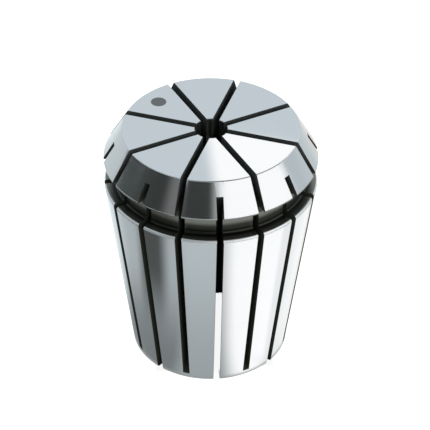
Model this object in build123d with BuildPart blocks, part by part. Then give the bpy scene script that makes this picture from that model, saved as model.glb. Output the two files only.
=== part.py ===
from build123d import *

import os
from math import cos, radians, sqrt, tan

# A double-slitted spring collet of the 32 mm size: one piece of spring steel, turned, bored and sawn.
#
# The collet stands on its small rear end. The origin is the centre of the rear face and +Z runs along
# the axis to the front face, where the tool goes in. Lengths are in millimetres, angles in degrees.
#
# From the front face down, the blank is a steep nose cone that the nut presses on, a groove that the
# nut's ring pulls the collet out by, and a long slow taper that seats in the chuck. A small clamping
# bore runs back from the front face and opens into a wide relief. Two sets of saw slits, one from each
# end and half a pitch apart, overlap along nearly the whole length, so that the jaws close in parallel.

# Outside of the blank
HEAD_DIAMETER = 33.0
LENGTH = 40.0
NOSE_LENGTH = 5.2
NOSE_ANGLE = 30.0  # between the nose cone and the axis
HEAD_LAND = 0.25  # narrow cylinder between the nose cone and the groove
GROOVE_WIDTH = 3.9
GROOVE_DIAMETER = 29.2
GROOVE_CORNER = 0.4
TAPER_DIAMETER = 33.0  # at the shoulder below the groove
TAPER_ANGLE = 8.0  # between the long taper and the axis

# Inside of the blank
BORE_DIAMETER = 5.0
CLAMPING_LENGTH = 22.0
RELIEF_DIAMETER = 18.8
RELIEF_CORNER = 1.0

# Broken edges
FACE_EDGE = 0.1
BORE_EDGE = 0.1
SHOULDER_EDGE = 0.4
REAR_EDGE = 0.3
RELIEF_EDGE = 0.35

# Slits, cut by a round saw that travels along the axis and leaves its own radius at the run-out
SLITS_PER_END = 8
SLIT_WIDTH = 1.0
SAW_RADIUS = 31.5
REAR_SLIT_FLOOR = 5.5  # radius left whole around the clamping bore
REAR_SLIT_TOP = 37.9  # height at which a rear slit runs out on the nose cone
FRONT_SLIT_FLOOR = 0.0  # a front slit is cut right to the axis
FRONT_SLIT_END = 1.15  # height at which a front slit runs out on the taper
OVERRUN = 5.0  # how far a saw's cut stands clear of the blank

# Worked out
HEAD_RADIUS = HEAD_DIAMETER / 2
GROOVE_RADIUS = GROOVE_DIAMETER / 2
TAPER_TOP_RADIUS = TAPER_DIAMETER / 2
BORE_RADIUS = BORE_DIAMETER / 2
RELIEF_RADIUS = RELIEF_DIAMETER / 2
NOSE_FOOT = LENGTH - NOSE_LENGTH
CONE_FOOT = NOSE_FOOT + HEAD_LAND
SHOULDER = NOSE_FOOT - GROOVE_WIDTH
RELIEF_TOP = LENGTH - CLAMPING_LENGTH
HALF_PITCH = 180 / SLITS_PER_END


def nose_radius(height):
    """Radius of the nose cone at a height."""
    return HEAD_RADIUS - (height - CONE_FOOT) * tan(radians(NOSE_ANGLE))


def taper_radius(height):
    """Radius of the long taper at a height."""
    return TAPER_TOP_RADIUS - (SHOULDER - height) * tan(radians(TAPER_ANGLE))


def saw_reach(floor, radius):
    """Length along the axis from the saw's centre to its rim at a radius, when it cuts in to floor."""
    return sqrt(SAW_RADIUS**2 - (floor + SAW_RADIUS - radius) ** 2)


def saw_cut(floor, centre_height, direction):
    """Outline, in a plane through the axis, of all that one saw removes.

    The saw cuts in to the radius floor and stops with its centre at centre_height. direction is 1
    where it came up from the rear end, and -1 where it came down from the front.
    """
    start = centre_height - direction * (LENGTH + OVERRUN)
    outside = HEAD_RADIUS + OVERRUN
    run_out = centre_height + direction * saw_reach(floor, outside)
    with BuildLine() as outline:
        Polyline((outside, run_out), (outside, start), (floor, start), (floor, centre_height))
        RadiusArc((floor, centre_height), (outside, run_out), direction * SAW_RADIUS)
    return outline.line


# The turned and bored blank
with BuildPart() as blank:
    with BuildSketch(Plane.XZ):
        with BuildLine():
            face_edge_foot = LENGTH - FACE_EDGE * cos(radians(NOSE_ANGLE))
            shoulder_edge_foot = SHOULDER - SHOULDER_EDGE
            Polyline(
                (BORE_RADIUS + BORE_EDGE, LENGTH),
                (nose_radius(LENGTH) - FACE_EDGE, LENGTH),
                (nose_radius(face_edge_foot), face_edge_foot),
                (HEAD_RADIUS, CONE_FOOT),
                (HEAD_RADIUS, NOSE_FOOT),
                (GROOVE_RADIUS, NOSE_FOOT),
                (GROOVE_RADIUS, SHOULDER),
                (taper_radius(shoulder_edge_foot) - SHOULDER_EDGE, SHOULDER),
                (taper_radius(shoulder_edge_foot), shoulder_edge_foot),
                (taper_radius(REAR_EDGE), REAR_EDGE),
                (taper_radius(REAR_EDGE) - REAR_EDGE, 0),
                (RELIEF_RADIUS + RELIEF_EDGE, 0),
                (RELIEF_RADIUS, RELIEF_EDGE),
                (RELIEF_RADIUS, RELIEF_TOP),
                (BORE_RADIUS + BORE_EDGE, RELIEF_TOP),
                (BORE_RADIUS, RELIEF_TOP + BORE_EDGE),
                (BORE_RADIUS, LENGTH - BORE_EDGE),
                close=True,
            )
        make_face()
    revolve(axis=Axis.Z)
    circles = blank.edges().filter_by(GeomType.CIRCLE)
    fillet(circles.filter_by(lambda circle: abs(circle.radius - GROOVE_RADIUS) < 1e-3), GROOVE_CORNER)
    circles = blank.edges().filter_by(GeomType.CIRCLE)
    relief_circles = circles.filter_by(lambda circle: abs(circle.radius - RELIEF_RADIUS) < 1e-3)
    fillet(relief_circles.sort_by(Axis.Z)[-1], RELIEF_CORNER)

# What one saw removes from the rear end, and what one removes from the front
with BuildPart() as rear_saw:
    with BuildSketch(Plane.XZ):
        rear_reach = saw_reach(REAR_SLIT_FLOOR, nose_radius(REAR_SLIT_TOP))
        add(saw_cut(REAR_SLIT_FLOOR, REAR_SLIT_TOP - rear_reach, 1))
        make_face()
    extrude(amount=SLIT_WIDTH / 2, both=True)

with BuildPart() as front_saw:
    with BuildSketch(Plane.XZ):
        front_reach = saw_reach(FRONT_SLIT_FLOOR, taper_radius(FRONT_SLIT_END))
        add(saw_cut(FRONT_SLIT_FLOOR, FRONT_SLIT_END + front_reach, -1))
        make_face()
    extrude(amount=SLIT_WIDTH / 2, both=True)

# The collet: a rear slit faces +X, and the front slits lie half a pitch round from the rear ones
with BuildPart() as collet:
    add(blank.part)
    with PolarLocations(0, SLITS_PER_END):
        add(rear_saw.part, mode=Mode.SUBTRACT)
    with PolarLocations(0, SLITS_PER_END, start_angle=HALF_PITCH):
        add(front_saw.part, mode=Mode.SUBTRACT)

collet.part.label = "collet"
os.makedirs("parts", exist_ok=True)
export_step(collet.part, "parts/collet.step")
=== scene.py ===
from math import asin, cos, pi, radians, sin, sqrt, tan

import bmesh
import bpy
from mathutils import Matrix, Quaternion, Vector


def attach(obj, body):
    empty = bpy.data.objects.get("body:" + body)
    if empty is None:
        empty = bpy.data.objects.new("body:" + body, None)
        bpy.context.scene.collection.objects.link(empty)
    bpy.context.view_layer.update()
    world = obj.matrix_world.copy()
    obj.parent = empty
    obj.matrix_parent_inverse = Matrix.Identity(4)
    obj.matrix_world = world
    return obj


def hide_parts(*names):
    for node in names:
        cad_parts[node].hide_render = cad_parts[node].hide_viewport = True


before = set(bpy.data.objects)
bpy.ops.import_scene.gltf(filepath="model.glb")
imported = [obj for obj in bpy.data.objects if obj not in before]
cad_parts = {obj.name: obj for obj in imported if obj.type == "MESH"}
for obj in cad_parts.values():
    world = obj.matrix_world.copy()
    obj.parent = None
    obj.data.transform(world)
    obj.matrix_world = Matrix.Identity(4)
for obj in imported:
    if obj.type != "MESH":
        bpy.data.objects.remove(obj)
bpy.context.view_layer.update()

# A double-slitted spring collet of the 32 mm size. The mesh below has the form of the CAD part, with
# its edges deburred, and stands for it. The scene is in metres, so lengths are given with MM.
MM = 0.001

# The blank, as in the CAD part
HEAD_RADIUS = 16.5 * MM
LENGTH = 40.0 * MM
NOSE_LENGTH = 5.2 * MM
NOSE_ANGLE = radians(30)
HEAD_LAND = 0.25 * MM
GROOVE_WIDTH = 3.9 * MM
GROOVE_RADIUS = 14.6 * MM
GROOVE_CORNER = 0.4 * MM
TAPER_TOP_RADIUS = 16.5 * MM
TAPER_ANGLE = radians(8)
BORE_RADIUS = 2.5 * MM
CLAMPING_LENGTH = 22.0 * MM
RELIEF_RADIUS = 9.4 * MM
RELIEF_CORNER = 1.0 * MM
FACE_EDGE = 0.1 * MM
BORE_EDGE = 0.1 * MM
SHOULDER_ROUND = 0.45 * MM  # the part's 0.4 mm chamfer, worn round
REAR_EDGE = 0.3 * MM
RELIEF_EDGE = 0.35 * MM

# The slits, as in the CAD part
SLITS_PER_END = 8
SLIT_HALF_WIDTH = 0.5 * MM
SAW_RADIUS = 31.5 * MM
REAR_SLIT_FLOOR = 5.5 * MM
REAR_SLIT_TOP = 37.9 * MM
FRONT_SLIT_END = 1.15 * MM

# How finely the mesh is divided
JAW_COLUMNS = 14
SLIT_COLUMNS = 2
GUARD = 0.1 * MM  # width of the column beside a slit, which leaves room for the deburred edge
CORNER_STEPS = 6
REAR_FLOOR_STEPS = 24
FRONT_FLOOR_STEPS = 6
MERGE_DISTANCE = 0.0005 * MM
DEBURR = 0.05 * MM
SHARP_ANGLE = radians(20)
NORMAL_WEIGHT = 100  # of the Weighted Normal modifier: large faces set the shading

# The plain dot etched on the face, near the middle of one of its sectors
MARK_RADIUS = 1.2 * MM
MARK_SOFTNESS = 0.05 * MM
MARK_DISTANCE = 10.7 * MM
MARK_AZIMUTH = radians(-130.5)

# The camera, as the photograph was taken: azimuth 0 looks along +Y, and positive stands further right
CAMERA_AZIMUTH = radians(-5.259)
CAMERA_ELEVATION = radians(37.471)
CAMERA_DISTANCE = 437.388 * MM
CAMERA_PIVOT = 20.0 * MM  # height on the axis that the distance is measured from
CAMERA_AIM = (0.692 * MM, 23.422 * MM)  # to the right of the axis, and up
CAMERA_ROLL = radians(0.444)
PHOTO_SIDE = 430  # pixels
FOCAL_LENGTH = 2790.64  # pixels
SENSOR_WIDTH = 36.0
CLIP_START = 0.01  # metres
CLIP_END = 20.0

# Worked out
NOSE_FOOT = LENGTH - NOSE_LENGTH
CONE_FOOT = NOSE_FOOT + HEAD_LAND
SHOULDER = NOSE_FOOT - GROOVE_WIDTH
RELIEF_TOP = LENGTH - CLAMPING_LENGTH
HALF_PITCH = pi / SLITS_PER_END


# ---------------------------------------------------------------- the collet's mesh


def nose_radius(height):
    return HEAD_RADIUS - (height - CONE_FOOT) * tan(NOSE_ANGLE)


def taper_radius(height):
    return TAPER_TOP_RADIUS - (SHOULDER - height) * tan(TAPER_ANGLE)


def saw_reach(floor, radius):
    """Length along the axis from a saw's centre to its rim at a radius, when it cuts in to floor."""
    return sqrt(SAW_RADIUS**2 - (floor + SAW_RADIUS - radius) ** 2)


REAR_SAW_HEIGHT = REAR_SLIT_TOP - saw_reach(REAR_SLIT_FLOOR, nose_radius(REAR_SLIT_TOP))
FRONT_SAW_HEIGHT = FRONT_SLIT_END + saw_reach(0, taper_radius(FRONT_SLIT_END))


def saw_floor(floor, past_centre):
    """Radius that a slit is cut in to, at a distance past the height of its saw's centre."""
    if past_centre <= 0:
        return floor
    return floor + SAW_RADIUS - sqrt(SAW_RADIUS**2 - past_centre**2)


def rear_slit_floor(height):
    return saw_floor(REAR_SLIT_FLOOR, height - REAR_SAW_HEIGHT)


def front_slit_floor(height):
    return saw_floor(0, FRONT_SAW_HEIGHT - height)


# A finish is the number of its material, in the order that the materials are added to the collet
FACED, GROUND, WORN, ROUNDED, BLACKENED, SAWN = range(6)

# The three parts of a row of vertices: the half slits at its ends and the jaw between them
ACROSS_REAR, JAW, ACROSS_FRONT = range(3)


def corner(centre_radius, centre_height, radius, start, turn=pi / 2):
    """Points of a round, from the angle start through the angle turn, as (radius, height)."""
    angles = [start + turn * step / CORNER_STEPS for step in range(CORNER_STEPS + 1)]
    return [(centre_radius + radius * cos(a), centre_height + radius * sin(a)) for a in angles]


def profile():
    """The blank's section as (radius, height, finish), where finish is that of the stretch after it.

    It runs from the bore's mouth out over the face, down the outside and back up the inside.
    """
    face_edge_foot = LENGTH - FACE_EDGE * cos(NOSE_ANGLE)
    shoulder_centre = TAPER_TOP_RADIUS - SHOULDER_ROUND * (1 + sin(TAPER_ANGLE)) / cos(TAPER_ANGLE)
    groove_centre = GROOVE_RADIUS + GROOVE_CORNER
    upper_corner = corner(groove_centre, NOSE_FOOT - GROOVE_CORNER, GROOVE_CORNER, pi / 2)
    lower_corner = corner(groove_centre, SHOULDER + GROOVE_CORNER, GROOVE_CORNER, pi)
    shoulder_round = corner(
        shoulder_centre, SHOULDER - SHOULDER_ROUND, SHOULDER_ROUND, pi / 2, -(pi / 2 + TAPER_ANGLE)
    )
    relief_corner = corner(RELIEF_RADIUS - RELIEF_CORNER, RELIEF_TOP - RELIEF_CORNER, RELIEF_CORNER, 0)
    front_slit_inner_end = FRONT_SAW_HEIGHT - saw_reach(0, RELIEF_RADIUS)
    outside = [
        (BORE_RADIUS + BORE_EDGE, LENGTH, FACED),
        (nose_radius(LENGTH) - FACE_EDGE, LENGTH, GROUND),
        (nose_radius(face_edge_foot), face_edge_foot, GROUND),
        (nose_radius(REAR_SLIT_TOP), REAR_SLIT_TOP, GROUND),
        (HEAD_RADIUS, CONE_FOOT, GROUND),
        (HEAD_RADIUS, NOSE_FOOT, BLACKENED),
        *((r, z, BLACKENED) for r, z in upper_corner + lower_corner),
        *((r, z, BLACKENED) for r, z in shoulder_round[:2]),
        *((r, z, ROUNDED) for r, z in shoulder_round[2:-1]),
        (*shoulder_round[-1], GROUND),
        (taper_radius(FRONT_SLIT_END), FRONT_SLIT_END, GROUND),
        (taper_radius(REAR_EDGE), REAR_EDGE, GROUND),
        (taper_radius(REAR_EDGE) - REAR_EDGE, 0, GROUND),
    ]
    inside = [
        (RELIEF_RADIUS + RELIEF_EDGE, 0, GROUND),
        (RELIEF_RADIUS, RELIEF_EDGE, SAWN),
        (RELIEF_RADIUS, front_slit_inner_end, SAWN),
        *((r, z, SAWN) for r, z in relief_corner),
        (rear_slit_floor(RELIEF_TOP), RELIEF_TOP, SAWN),
        (BORE_RADIUS + BORE_EDGE, RELIEF_TOP, SAWN),
        (BORE_RADIUS, RELIEF_TOP + BORE_EDGE, BLACKENED),
        (BORE_RADIUS, LENGTH - BORE_EDGE, BLACKENED),
    ]
    return outside + inside


def column_azimuths(radius):
    """Azimuths of one row's vertices, from the middle of a rear slit to the middle of a front slit.

    Returns three lists: across the rear slit, across the jaw between the slits, and across the front
    slit. Inside the rear slits' floor the first list is kept as narrow as it is at that floor.
    """
    rear_edge = asin(SLIT_HALF_WIDTH / max(radius, REAR_SLIT_FLOOR))
    front_edge = HALF_PITCH - asin(SLIT_HALF_WIDTH / radius)
    guard = GUARD / radius
    first, last = rear_edge + guard, front_edge - guard
    across_rear = [rear_edge * step / SLIT_COLUMNS for step in range(SLIT_COLUMNS + 1)]
    jaw = [first + (last - first) * step / JAW_COLUMNS for step in range(JAW_COLUMNS + 1)]
    front_step = (HALF_PITCH - front_edge) / SLIT_COLUMNS
    across_front = [front_edge + front_step * step for step in range(SLIT_COLUMNS + 1)]
    return across_rear, [rear_edge, *jaw, front_edge], across_front


def slit_floor_rows(start_height, end_height, floor_at, steps):
    """Points (radius, height) of a slit's floor between two heights, ends left out."""
    rise = (end_height - start_height) / steps
    heights = [start_height + rise * step for step in range(1, steps)]
    return [(floor_at(height), height) for height in heights]


def half_jaw():
    """One sixteenth of the collet, from the middle of a rear slit to the middle of a front slit.

    Returns its points and its faces; a face is (list of point numbers, finish).
    """
    rows = profile()
    points = []
    faces = []

    def add_point(x, y, height):
        points.append((x, y, height))
        return len(points) - 1

    def on_azimuth(radius, azimuth, height):
        return add_point(radius * cos(azimuth), radius * sin(azimuth), height)

    grid = []
    for radius, height, _ in rows:
        across_rear, jaw, across_front = column_azimuths(radius)
        jaw_points = [on_azimuth(radius, azimuth, height) for azimuth in jaw]
        rear_points = [on_azimuth(radius, azimuth, height) for azimuth in across_rear[:-1]]
        front_points = [on_azimuth(radius, azimuth, height) for azimuth in across_front[1:]]
        grid.append((rear_points + jaw_points[:1], jaw_points, jaw_points[-1:] + front_points))

    def fill(upper, lower, finish):
        for column in range(len(upper) - 1):
            quad = [upper[column], lower[column], lower[column + 1], upper[column + 1]]
            faces.append((quad, finish))

    in_rear_slit = []
    in_front_slit = []
    for number, (radius, height, finish) in enumerate(rows):
        following = (number + 1) % len(rows)
        middle_radius = (radius + rows[following][0]) / 2
        middle_height = (height + rows[following][1]) / 2
        in_rear_slit.append(middle_radius > rear_slit_floor(middle_height))
        in_front_slit.append(middle_radius > front_slit_floor(middle_height))
        fill(grid[number][JAW], grid[following][JAW], finish)
        if not in_rear_slit[-1]:
            fill(grid[number][ACROSS_REAR], grid[following][ACROSS_REAR], finish)
        if not in_front_slit[-1]:
            fill(grid[number][ACROSS_FRONT], grid[following][ACROSS_FRONT], finish)

    offsets = [SLIT_HALF_WIDTH * step / SLIT_COLUMNS for step in range(SLIT_COLUMNS + 1)]

    def cut(inside_slit, columns, edge_column, floor_at, steps, rear):
        """Adds the wall and the floor of the slit over the run of rows that it cuts."""
        count = len(rows)
        first = next(n for n in range(count) if inside_slit[n] and not inside_slit[n - 1])
        run = [first]
        while inside_slit[run[-1] % count]:
            run.append(run[-1] + 1)
        run = [number % count for number in run]
        start_height, end_height = rows[run[-1]][1], rows[run[0]][1]
        floor_rows = [grid[run[-1]][columns]]
        for radius, height in slit_floor_rows(start_height, end_height, floor_at, steps):
            if rear:
                floor_rows.append([add_point(radius, offset, height) for offset in offsets])
            else:
                turned = []
                for offset in reversed(offsets):
                    x = radius * cos(HALF_PITCH) + offset * sin(HALF_PITCH)
                    y = radius * sin(HALF_PITCH) - offset * cos(HALF_PITCH)
                    turned.append(add_point(x, y, height))
                floor_rows.append(turned)
        floor_rows.append(grid[run[0]][columns])
        for upper, lower in zip(floor_rows, floor_rows[1:]):
            fill(upper, lower, SAWN)
        wall = [grid[number][columns][edge_column] for number in run]
        wall += [row[edge_column] for row in floor_rows[1:-1]]
        faces.append((wall[::-1] if rear else wall, SAWN))

    cut(in_rear_slit, ACROSS_REAR, -1, rear_slit_floor, REAR_FLOOR_STEPS, rear=True)
    cut(in_front_slit, ACROSS_FRONT, 0, front_slit_floor, FRONT_FLOOR_STEPS, rear=False)
    return points, faces


def collet_mesh():
    """The whole collet: the half jaw, mirrored and turned round the axis, joined and deburred."""
    points, faces = half_jaw()
    shape = bmesh.new()
    for slit in range(SLITS_PER_END):
        turn = 2 * HALF_PITCH * slit
        for side in (1, -1):
            verts = []
            for x, y, z in points:
                place = (x * cos(turn) - side * y * sin(turn), x * sin(turn) + side * y * cos(turn), z)
                verts.append(shape.verts.new(place))
            for numbers, finish in faces:
                corners = [verts[number] for number in numbers]
                face = shape.faces.new(corners if side == 1 else corners[::-1])
                face.material_index = finish
    bmesh.ops.remove_doubles(shape, verts=shape.verts, dist=MERGE_DISTANCE)
    bmesh.ops.recalc_face_normals(shape, faces=shape.faces)
    worn = []
    for edge in shape.edges:
        finishes = {face.material_index for face in edge.link_faces}
        if finishes & {FACED, GROUND} and edge.calc_face_angle(0) > SHARP_ANGLE:
            worn.append(edge)
    bmesh.ops.bevel(
        shape,
        geom=worn,
        offset=DEBURR,
        offset_type="OFFSET",
        segments=1,
        affect="EDGES",
        clamp_overlap=False,
        material=WORN,
    )
    # Where a deburred edge borders a sawn face, it takes that face's finish
    for face in shape.faces:
        face.smooth = True
        beside = {other.material_index for edge in face.edges for other in edge.link_faces}
        if face.material_index == WORN and SAWN in beside:
            face.material_index = SAWN
    mesh = bpy.data.meshes.new("collet_body")
    shape.to_mesh(mesh)
    shape.free()
    mesh.set_sharp_from_angle(angle=SHARP_ANGLE)
    return mesh


# ---------------------------------------------------------------- node helpers


class Nodes:
    """Adds nodes to a node tree and links them by what they return."""

    def __init__(self, tree):
        self.tree = tree
        tree.nodes.clear()

    def put(self, socket, value):
        """Links value to the socket where it is another socket, and otherwise sets it."""
        if isinstance(value, bpy.types.NodeSocket):
            self.tree.links.new(value, socket)
        else:
            socket.default_value = value

    def add(self, kind, inputs=(), **settings):
        """Adds a node, sets its properties, and sets or links its inputs, given as {name: value}."""
        node = self.tree.nodes.new(kind)
        for name, value in settings.items():
            setattr(node, name, value)
        for name, value in dict(inputs).items():
            self.put(node.inputs[name], value)
        return node

    def math(self, operation, first, second=0.0):
        return self.add("ShaderNodeMath", {0: first, 1: second}, operation=operation).outputs[0]

    def step(self, value, middle, softness):
        """Goes smoothly from 0 to 1 as value passes middle, over softness on each side."""
        ends = {"Value": value, "From Min": middle - softness, "From Max": middle + softness}
        return self.add("ShaderNodeMapRange", ends, interpolation_type="SMOOTHSTEP").outputs[0]

    def outside(self, mask):
        """The reverse of a mask: 1 where it is 0."""
        return self.math("SUBTRACT", 1.0, mask)

    def within(self, value, start_edge, end_edge):
        """1 where value lies between two edges, each given as (middle, softness)."""
        begun = self.step(value, *start_edge)
        ended = self.step(value, *end_edge)
        return self.math("SUBTRACT", begun, ended)

    def between(self, value, start, end, softness):
        """1 where value lies between start and end, with equally soft edges."""
        return self.within(value, (start, softness), (end, softness))

    def all_of(self, *masks):
        product = masks[0]
        for mask in masks[1:]:
            product = self.math("MULTIPLY", product, mask)
        return product

    def leaning(self, value, other, slope):
        """Value less slope times other, so that an edge in it leans as other grows."""
        return self.math("SUBTRACT", value, self.math("MULTIPLY", other, slope))

    def distance(self, x, y):
        """Length of the flat vector (x, y)."""
        square = self.math("ADD", self.math("MULTIPLY", x, x), self.math("MULTIPLY", y, y))
        return self.math("SQRT", square)

    def spread(self, value, low, high):
        """Value from 0 to 1, spread out from low to high."""
        ends = {"Value": value, "To Min": low, "To Max": high}
        return self.add("ShaderNodeMapRange", ends).outputs[0]

    def mix(self, mask, under, over):
        """Colour under, covered by colour over where mask is 1."""
        node = self.add("ShaderNodeMix", {"Factor": mask}, data_type="RGBA")
        # The node's colour sockets come after those for numbers and vectors
        self.put(node.inputs[6], under)
        self.put(node.inputs[7], over)
        return node.outputs[2]

    def noise(self, vector, scale, detail=2.0):
        inputs = {"Vector": vector, "Scale": scale, "Detail": detail}
        return self.add("ShaderNodeTexNoise", inputs).outputs["Fac"]

    def place(self):
        """Object coordinates."""
        return self.add("ShaderNodeTexCoord").outputs["Object"]

    def output(self, shader, kind="ShaderNodeOutputMaterial"):
        """Makes shader the surface that the tree gives."""
        self.add(kind, {"Surface": shader.outputs[0]})


def new_material(name):
    """An empty material and the Nodes that fill it."""
    material = bpy.data.materials.new(name)
    material.use_nodes = True
    return material, Nodes(material.node_tree)


def grey(value, tint=(1.0, 1.0, 1.0)):
    """A colour of one brightness, turned a little by tint."""
    return (*(value * channel for channel in tint), 1.0)


def pale(value):
    """The slightly blue white of the studio's card."""
    return grey(value, (0.93, 1.01, 1.04))


# ---------------------------------------------------------------- the collet's materials

# Names that end in EDGE, END, FOOT or TOP say where one look gives way to another, as (middle,
# softness). They are heights, unless a comment says otherwise.

# Bright steel
STEEL = grey(0.55, (0.98, 1.01, 1.02))
STEEL_DULLER = grey(0.52, (0.98, 1.01, 1.02))
STEEL_BRIGHTER = grey(0.74, (0.98, 1.01, 1.02))
CLOUD_SIZE = 9 * MM
WIDE_LINES = (0.5 * MM, radians(30))  # width, and length round the axis
FINE_LINES = (0.09 * MM, radians(14))
GLOSS_SPREAD = (0.8, 1.2)  # times the material's own roughness
LAY_TURN = 0.25  # turns that the anisotropy's direction is rotated by
ETCHED = grey(0.12, (0.98, 1.0, 1.02))
ETCHED_ROUGHNESS = 0.35

# Dark turned steel in the bore and the groove. A paler ring round the groove's floor is painted
# reflection, and the darker lower corner of the groove and the darker shoulder are painted shade
BORE_STEEL = grey(0.17, (0.96, 1.03, 0.90))
BORE_END = (12 * MM, 1 * MM)  # in radius
DARKEST_STEEL = grey(0.07, (0.96, 1.03, 0.84))
# A paler ring round the groove's floor, between the two heights below, is painted reflection
PAINTED_REFLECTION = grey(0.29, (0.99, 1.01, 0.90))
PAINTED_REFLECTION_FOOT = (32.6 * MM, 0.45 * MM)
PAINTED_REFLECTION_TOP = (33.55 * MM, 0.15 * MM)
# The groove's corner, below the height after it, is darker still: painted shade
PAINTED_CORNER_SHADE = grey(0.025, (0.96, 1.03, 0.84))
PAINTED_CORNER_SHADE_TOP = (31.55 * MM, 0.25 * MM)
# The shoulder under the head, beyond the radius after it, is darker: painted shade
PAINTED_SHOULDER_SHADE = grey(0.14, (0.98, 1.02, 0.90))
PAINTED_SHOULDER_SHADE_EDGE = (15.4 * MM, 0.5 * MM)  # in radius
TURNED_METALLIC = 0.88
TURNED_LINES = (0.12 * MM, radians(20))
TURNED_ROUGHNESS = (0.24, 0.36)

# Black oxide in the slits and the relief, with painted shade inside the relief and painted light high
# up near the face
OXIDE = grey(0.035, (0.98, 1.08, 0.86))
# Darker inside the relief, within the radius and height given below: painted shade
OXIDE_PAINTED_SHADE = grey(0.01, (0.98, 1.08, 0.86))
# Paler high in the slits, near the face, from the height given below: painted light
OXIDE_PAINTED_LIGHT = grey(0.075, (0.92, 1.02, 1.0))
PAINTED_SHADE_END = (9.8 * MM, 0.3 * MM)  # in radius
PAINTED_SHADE_TOP = (RELIEF_TOP, 0.5 * MM)
PAINTED_LIGHT_FOOT = (37 * MM, 1 * MM)
GRAIN_SIZE = 0.25 * MM
GRAIN_DETAIL = 3.0
SAWN_ROUGHNESS = (0.34, 0.5)
SHEEN = grey(0.92)
SHEEN_ROUGHNESS = 0.03
SHEEN_EDGE = (0.86, 0.05)  # in how nearly edge on the surface is seen, up to 1
SHEEN_TOP = (20 * MM, 2 * MM)


def turned_coordinates(nodes):
    """Object coordinates of a turned part: distance from the axis, height, and angle in radians."""
    x, y, z = nodes.add("ShaderNodeSeparateXYZ", {"Vector": nodes.place()}).outputs
    return nodes.distance(x, y), z, nodes.math("ARCTAN2", y, x)


def lay(nodes, line_width, arc_length):
    """Noise drawn out along the direction of turning: lines line_width wide that last arc_length."""
    radius, height, angle = turned_coordinates(nodes)
    inputs = {
        "X": nodes.math("MULTIPLY", radius, 1 / line_width),
        "Y": nodes.math("MULTIPLY", height, 1 / line_width),
        "Z": nodes.math("MULTIPLY", angle, 1 / arc_length),
    }
    return nodes.noise(nodes.add("ShaderNodeCombineXYZ", inputs).outputs[0], 1.0)


def beside_mark(nodes):
    """0 inside the etched dot and 1 outside it."""
    turned = MARK_AZIMUTH + CAMERA_AZIMUTH
    middle = (MARK_DISTANCE * sin(turned), -MARK_DISTANCE * cos(turned), LENGTH)
    apart = nodes.add("ShaderNodeVectorMath", {0: nodes.place(), 1: middle}, operation="DISTANCE")
    return nodes.step(apart.outputs["Value"], MARK_RADIUS, MARK_SOFTNESS)


def steel_material(name, roughness, anisotropy=0.0, groove_depth=0.0, steel=STEEL, marked=False):
    """Bright steel: fine lines round the axis, and faint wide variation in tone and gloss."""
    material, nodes = new_material(name)
    clouds = nodes.noise(nodes.place(), 1 / CLOUD_SIZE)
    wide_lines = lay(nodes, *WIDE_LINES)
    fine_lines = lay(nodes, *FINE_LINES)
    tone = nodes.math("MULTIPLY", clouds, wide_lines)
    least, most = (part * roughness for part in GLOSS_SPREAD)
    gloss = nodes.spread(wide_lines, least, most)
    grooves = nodes.add(
        "ShaderNodeBump", {"Height": fine_lines, "Strength": 1.0, "Distance": groove_depth}
    ).outputs[0]
    colour = nodes.mix(tone, steel, STEEL_DULLER)
    if marked:
        plain = beside_mark(nodes)
        colour = nodes.mix(plain, ETCHED, colour)
        gloss = nodes.spread(plain, ETCHED_ROUGHNESS, gloss)
    surface = nodes.add(
        "ShaderNodeBsdfPrincipled",
        {
            "Base Color": colour,
            "Metallic": 1.0,
            "Roughness": gloss,
            "Anisotropic": anisotropy,
            "Anisotropic Rotation": LAY_TURN,
            "Normal": grooves,
            "Tangent": nodes.add("ShaderNodeTangent", direction_type="RADIAL", axis="Z").outputs[0],
        },
    )
    nodes.output(surface)
    return material


def blackened_material():
    """Dark turned steel in the bore and the groove, with painted reflection in a paler ring and
    painted shade, darkest, low in the groove.
    """
    material, nodes = new_material("black_turned")
    radius, height, _ = turned_coordinates(nodes)
    in_groove = nodes.step(radius, *BORE_END)
    # Painted reflection: a paler ring round the groove's floor
    painted_reflection = nodes.within(height, PAINTED_REFLECTION_FOOT, PAINTED_REFLECTION_TOP)
    colour = nodes.mix(in_groove, BORE_STEEL, nodes.mix(painted_reflection, DARKEST_STEEL, PAINTED_REFLECTION))
    # Painted shade in the groove's lower corner
    in_painted_corner_shade = nodes.all_of(in_groove, nodes.outside(nodes.step(height, *PAINTED_CORNER_SHADE_TOP)))
    colour = nodes.mix(in_painted_corner_shade, colour, PAINTED_CORNER_SHADE)
    # Painted shade on the shoulder under the head
    colour = nodes.mix(nodes.step(radius, *PAINTED_SHOULDER_SHADE_EDGE), colour, PAINTED_SHOULDER_SHADE)
    surface = nodes.add(
        "ShaderNodeBsdfPrincipled",
        {
            "Base Color": colour,
            "Metallic": TURNED_METALLIC,
            "Roughness": nodes.spread(lay(nodes, *TURNED_LINES), *TURNED_ROUGHNESS),
        },
    )
    nodes.output(surface)
    return material


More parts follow.
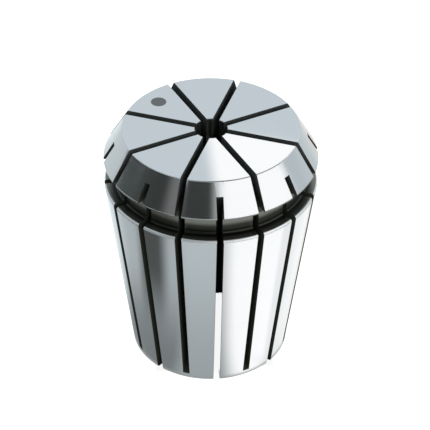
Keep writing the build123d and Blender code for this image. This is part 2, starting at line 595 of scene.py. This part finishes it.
def sawn_material():
    """Black oxide in the sawn slits: matt, but bright low down where it is seen almost edge on. Darker
    inside the relief is painted shade, and paler near the face is painted light.
    """
    material, nodes = new_material("black_sawn")
    grain = nodes.noise(nodes.place(), 1 / GRAIN_SIZE, GRAIN_DETAIL)
    radius, height, _ = turned_coordinates(nodes)
    # Painted shade: darker inside the relief
    above_relief = nodes.step(height, *PAINTED_SHADE_TOP)
    outside_painted_shade = nodes.math("MAXIMUM", nodes.step(radius, *PAINTED_SHADE_END), above_relief)
    oxide = nodes.mix(outside_painted_shade, OXIDE_PAINTED_SHADE, OXIDE)
    # Painted light: paler high in the slits, near the face
    surface = nodes.add(
        "ShaderNodeBsdfPrincipled",
        {
            "Base Color": nodes.mix(nodes.step(height, *PAINTED_LIGHT_FOOT), oxide, OXIDE_PAINTED_LIGHT),
            "Roughness": nodes.spread(grain, *SAWN_ROUGHNESS),
            "Specular IOR Level": 0.0,
        },
    )
    facing = nodes.add("ShaderNodeLayerWeight").outputs["Facing"]
    low = nodes.outside(nodes.step(height, *SHEEN_TOP))
    edge_on = nodes.all_of(nodes.step(facing, *SHEEN_EDGE), low)
    sheen = nodes.add("ShaderNodeBsdfAnisotropic", {"Color": SHEEN, "Roughness": SHEEN_ROUGHNESS})
    shaders = {0: edge_on, 1: surface.outputs[0], 2: sheen.outputs[0]}
    nodes.output(nodes.add("ShaderNodeMixShader", shaders))
    return material


# ---------------------------------------------------------------- the studio

# Azimuths in the studio are in degrees, counted from the camera's side of the collet and positive to
# the camera's right. Elevations are in degrees too. All that stands there has soft edges: an EDGE, a
# FOOT or a LINE is (middle, softness), EDGES are two of them, and a SPAN or a RING is (start, end,
# softness). Colours are what the surroundings send to the steel.

# The pale surroundings: SKY behind the collet, and the duller SIDE_SKY at its sides and in front
SKY = grey(1.05, (0.925, 1.01, 1.07))
SIDE_SKY = grey(0.88, (0.92, 1.0, 1.06))
SIDE_SKY_SPAN = (-122, 135, 20)

# The dark flag at the left, darkest towards the camera, with its far upper corner cut away so that
# the face stays bright from the side, and with a paler gap in it
FLAG = grey(0.063, (0.94, 1.03, 0.98))
FLAG_FAR = grey(0.092, (0.93, 1.03, 1.0))
FLAG_SHADE_EDGE = (-75, 25)
FLAG_EDGES = ((-114, 8), (8, 5))
FLAG_HEIGHT_SPAN = (-90, 34, 3)
FLAG_CUT_SPAN = (-180, -84, 3)
FLAG_CUT_FOOT = (14, 3)
GAP = grey(0.27)
GAP_SPAN = (-47, -30, 7)

# The softbox at the right
LIT = grey(1.76, (1.01, 0.99, 0.99))
SOFTBOX_EDGES = ((9, 12), (91, 7))
SOFTBOX_HEIGHT_SPAN = (-90, 42, 8)

# The dim ceiling, which comes lower in front and at the right
CEILING = grey(0.28)
CEILING_SPAN = (-38, 125, 10)
CEILING_FOOT = (42, 8)
ZENITH_EDGE = (78, 6)

# The softbox high behind the collet. Its azimuths are counted from straight behind, and its left and
# lower edges lean by a slope in degrees for each degree.
BACK_BOX_LEFT_SLOPE = 0.167
BACK_BOX_LEFT_EDGE = (-6.054, 0.29)
BACK_BOX_FOOT_SLOPE = 0.148
BACK_BOX_FOOT = (35.336, 0.032)
BACK_BOX_SPAN = (-90, 40, 3)
BACK_BOX_HEIGHT_SPAN = (0, 62, 4)

BACKDROP = grey(1.0)  # what the camera sees past the floor


def studio_axes(nodes, vector):
    """The parts of vector to the camera's right, away from it and up, and the azimuth in degrees."""
    turned = nodes.add(
        "ShaderNodeVectorRotate",
        {"Vector": vector, "Angle": -CAMERA_AZIMUTH},
        rotation_type="Z_AXIS",
    ).outputs[0]
    x, y, z = nodes.add("ShaderNodeSeparateXYZ", {"Vector": turned}).outputs
    azimuth = nodes.math("DEGREES", nodes.math("ARCTAN2", x, nodes.math("MULTIPLY", y, -1)))
    return x, y, z, azimuth


def studio_world():
    """Pale surroundings with a dark flag at the left, and softboxes at the right and high behind."""
    world = bpy.data.worlds.new("studio")
    world.use_nodes = True
    nodes = Nodes(world.node_tree)
    x, y, z, azimuth = studio_axes(nodes, nodes.add("ShaderNodeTexCoord").outputs["Generated"])
    from_behind = nodes.math("DEGREES", nodes.math("ARCTAN2", x, y))
    elevation = nodes.math("DEGREES", nodes.math("ARCSINE", z))

    colour = nodes.mix(nodes.between(azimuth, *SIDE_SKY_SPAN), SKY, SIDE_SKY)

    flag_colour = nodes.mix(nodes.step(azimuth, *FLAG_SHADE_EDGE), FLAG_FAR, FLAG)
    low = nodes.between(elevation, *FLAG_HEIGHT_SPAN)
    flag = nodes.all_of(nodes.within(azimuth, *FLAG_EDGES), low)
    above_cut = nodes.step(elevation, *FLAG_CUT_FOOT)
    cut_away = nodes.all_of(nodes.between(azimuth, *FLAG_CUT_SPAN), above_cut)
    colour = nodes.mix(nodes.all_of(flag, nodes.outside(cut_away)), colour, flag_colour)
    gap = nodes.all_of(nodes.between(azimuth, *GAP_SPAN), low)
    colour = nodes.mix(gap, colour, GAP)

    softbox = nodes.within(azimuth, *SOFTBOX_EDGES)
    softbox = nodes.all_of(softbox, nodes.between(elevation, *SOFTBOX_HEIGHT_SPAN))
    colour = nodes.mix(softbox, colour, LIT)

    ceiling = nodes.all_of(nodes.between(azimuth, *CEILING_SPAN), nodes.step(elevation, *CEILING_FOOT))
    ceiling = nodes.math("MAXIMUM", ceiling, nodes.step(elevation, *ZENITH_EDGE))
    colour = nodes.mix(ceiling, colour, CEILING)

    left_line = nodes.leaning(from_behind, elevation, BACK_BOX_LEFT_SLOPE)
    foot_line = nodes.leaning(elevation, from_behind, BACK_BOX_FOOT_SLOPE)
    back_box = nodes.all_of(
        nodes.step(left_line, *BACK_BOX_LEFT_EDGE),
        nodes.step(foot_line, *BACK_BOX_FOOT),
        nodes.between(from_behind, *BACK_BOX_SPAN),
        nodes.between(elevation, *BACK_BOX_HEIGHT_SPAN),
    )
    colour = nodes.mix(back_box, colour, LIT)

    seen = nodes.add("ShaderNodeLightPath").outputs["Is Camera Ray"]
    backdrop = nodes.add("ShaderNodeBackground", {"Color": nodes.mix(seen, colour, BACKDROP)})
    nodes.output(backdrop, "ShaderNodeOutputWorld")
    bpy.context.scene.world = world


FLOOR_SIDE = 6.0  # metres
FLOOR = grey(0.6)
FLOOR_ROUGHNESS = 0.9
FLOOR_GLOW = grey(1.0)
FLOOR_GLOW_STRENGTH = 0.92
CARD_HEIGHT = 0.01 * MM
SHADE_HEIGHT = 0.02 * MM


def plane(name, side, height, material):
    """A level square round the axis."""
    mesh = bpy.data.meshes.new(name)
    half = side / 2
    corners = [(-half, -half, 0), (half, -half, 0), (half, half, 0), (-half, half, 0)]
    mesh.from_pydata(corners, [], [(0, 1, 2, 3)])
    mesh.materials.append(material)
    piece = bpy.data.objects.new(name, mesh)
    piece.location.z = height
    bpy.context.scene.collection.objects.link(piece)
    return piece


def floor():
    """The plain pale floor."""
    material, nodes = new_material("pale_floor")
    surface = nodes.add(
        "ShaderNodeBsdfPrincipled",
        {
            "Base Color": FLOOR,
            "Roughness": FLOOR_ROUGHNESS,
            "Specular IOR Level": 0.0,
            "Emission Color": FLOOR_GLOW,
            "Emission Strength": FLOOR_GLOW_STRENGTH,
        },
    )
    nodes.output(surface)
    piece = plane("floor", FLOOR_SIDE, 0, material)
    piece.visible_glossy = False
    return piece


def relief_shade():
    """A black square under the relief, which keeps the floor's light out of it."""
    material, nodes = new_material("relief_shade")
    nodes.output(nodes.add("ShaderNodeBsdfDiffuse", {"Color": grey(0.0)}))
    piece = plane("relief_shade", 2 * RELIEF_RADIUS, SHADE_HEIGHT, material)
    piece.visible_camera = False
    piece.visible_glossy = False
    piece.visible_shadow = False
    return piece


# The card's sectors in front, at the left and at the back left. Each has one shade near the axis and
# another far from it.
CARD_FRONT = {"edge": (26 * MM, 16 * MM), "near": pale(0.62), "far": pale(0.90)}
CARD_SIDE = {"edge": (24 * MM, 10 * MM), "near": pale(0.34), "far": pale(0.74)}
CARD_BACK = {"edge": (20 * MM, 12 * MM), "near": pale(0.75), "far": pale(1.05)}
CARD_FRONT_EDGE = (-27, 9)
CARD_SIDE_EDGE = (-112, 22)

# The dark streak at the left
STREAK = grey(0.13, (0.96, 1.02, 0.98))
STREAK_SPAN = (-76, -46, 8)
STREAK_INNER_EDGE = (24 * MM, 8 * MM)

# The bright part at the right. Past SLANT_EDGE it only starts beyond a slanting line.
CARD_RIGHT = grey(1.02, (1.02, 0.99, 0.97))
CARD_RIGHT_EDGE = (17.5, 10)
SLANT_EDGE = (50, 15)  # in azimuth
SLANT = 1.33
SLANT_LINE = (19 * MM, 7 * MM)
LIT_SIDE = grey(1.45)
LIT_SIDE_EDGE = (-8.7 * MM, 1 * MM)  # in distance away from the camera

# The rings, from the outermost in to the disc under the collet
FAR_EDGE = (130 * MM, 20 * MM)
FAR = pale(0.95)
OUTER_RING = (48 * MM, 110 * MM, 6 * MM)
OUTER_SHADE = grey(0.36)
OUTER_SHADE_SPAN = (-112, 130, 15)
OUTER_DARK = grey(0.08)
OUTER_DARK_SPAN = (-80, -38, 8)
FOOT_RING = (9.8 * MM, 12.5 * MM, 0.5 * MM)
FOOT_SHADE = grey(0.55)
UNDER_EDGE = (9.8 * MM, 0.6 * MM)
UNDER = grey(1.0)


def reflector():
    """The card under the collet that the taper reflects: bright at the right, shaded at the left."""
    material, nodes = new_material("reflector")
    x, y, _, azimuth = studio_axes(nodes, nodes.place())
    distance = nodes.distance(x, y)

    def sector(edge, near, far):
        return nodes.mix(nodes.step(distance, *edge), near, far)

    front, side, back = sector(**CARD_FRONT), sector(**CARD_SIDE), sector(**CARD_BACK)
    colour = nodes.mix(nodes.step(azimuth, *CARD_FRONT_EDGE), side, front)
    colour = nodes.mix(nodes.step(azimuth, *CARD_SIDE_EDGE), back, colour)
    outer_part = nodes.step(distance, *STREAK_INNER_EDGE)
    streak = nodes.all_of(nodes.between(azimuth, *STREAK_SPAN), outer_part)
    colour = nodes.mix(streak, colour, STREAK)

    beyond_slant = nodes.step(nodes.math("SUBTRACT", nodes.math("MULTIPLY", x, SLANT), y), *SLANT_LINE)
    reach = nodes.math("MAXIMUM", nodes.outside(nodes.step(azimuth, *SLANT_EDGE)), beyond_slant)
    right = nodes.step(azimuth, *CARD_RIGHT_EDGE)
    colour = nodes.mix(right, colour, CARD_RIGHT)
    lit_colour = nodes.mix(nodes.step(y, *LIT_SIDE_EDGE), LIT, LIT_SIDE)
    colour = nodes.mix(nodes.all_of(right, reach), colour, lit_colour)

    ring = nodes.between(distance, *OUTER_RING)
    shade = nodes.all_of(ring, nodes.between(azimuth, *OUTER_SHADE_SPAN))
    colour = nodes.mix(shade, colour, OUTER_SHADE)
    dark = nodes.all_of(ring, nodes.between(azimuth, *OUTER_DARK_SPAN))
    colour = nodes.mix(dark, colour, OUTER_DARK)
    colour = nodes.mix(nodes.step(distance, *FAR_EDGE), colour, FAR)
    colour = nodes.mix(nodes.between(distance, *FOOT_RING), colour, FOOT_SHADE)
    under = nodes.outside(nodes.step(distance, *UNDER_EDGE))
    colour = nodes.mix(under, colour, UNDER)
    nodes.output(nodes.add("ShaderNodeEmission", {"Color": colour}))

    piece = plane("reflector", FLOOR_SIDE, CARD_HEIGHT, material)
    piece.visible_camera = False
    piece.visible_diffuse = False
    piece.visible_transmission = False
    piece.visible_shadow = False
    return piece


def camera():
    """The camera where the photograph was taken from."""
    right = Vector((cos(CAMERA_AZIMUTH), sin(CAMERA_AZIMUTH), 0))
    towards = Vector((sin(CAMERA_AZIMUTH), -cos(CAMERA_AZIMUTH), 0))
    up = Vector((0, 0, 1))
    rise = CAMERA_PIVOT + CAMERA_DISTANCE * sin(CAMERA_ELEVATION)
    place = towards * CAMERA_DISTANCE * cos(CAMERA_ELEVATION) + up * rise
    aim = right * CAMERA_AIM[0] + up * CAMERA_AIM[1]
    data = bpy.data.cameras.new("camera")
    data.sensor_width = SENSOR_WIDTH
    data.lens = SENSOR_WIDTH * FOCAL_LENGTH / PHOTO_SIDE
    data.clip_start = CLIP_START
    data.clip_end = CLIP_END
    piece = bpy.data.objects.new("camera", data)
    piece.location = place
    piece.rotation_mode = "QUATERNION"
    level = (aim - place).to_track_quat("-Z", "Y")
    piece.rotation_quaternion = level @ Quaternion((0, 0, 1), CAMERA_ROLL)
    bpy.context.scene.collection.objects.link(piece)
    bpy.context.scene.camera = piece


# ---------------------------------------------------------------- the scene

collet = bpy.data.objects.new("collet_body", collet_mesh())
bpy.context.scene.collection.objects.link(collet)
true_normals = collet.modifiers.new("true_normals", "WEIGHTED_NORMAL")
true_normals.weight = NORMAL_WEIGHT
true_normals.keep_sharp = True
finishes = [
    steel_material("faced_steel", roughness=0.02, marked=True),
    steel_material("ground_steel", roughness=0.13, anisotropy=0.5, groove_depth=0.00008 * MM),
    steel_material("worn_steel", roughness=0.38),
    steel_material("rounded_steel", roughness=0.45, steel=STEEL_BRIGHTER),
    blackened_material(),
    sawn_material(),
]
for finish in finishes:
    collet.data.materials.append(finish)
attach(collet, "root")
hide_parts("collet")

floor()
relief_shade()
reflector()
studio_world()
camera()
bpy.context.scene.view_settings.view_transform = "Standard"
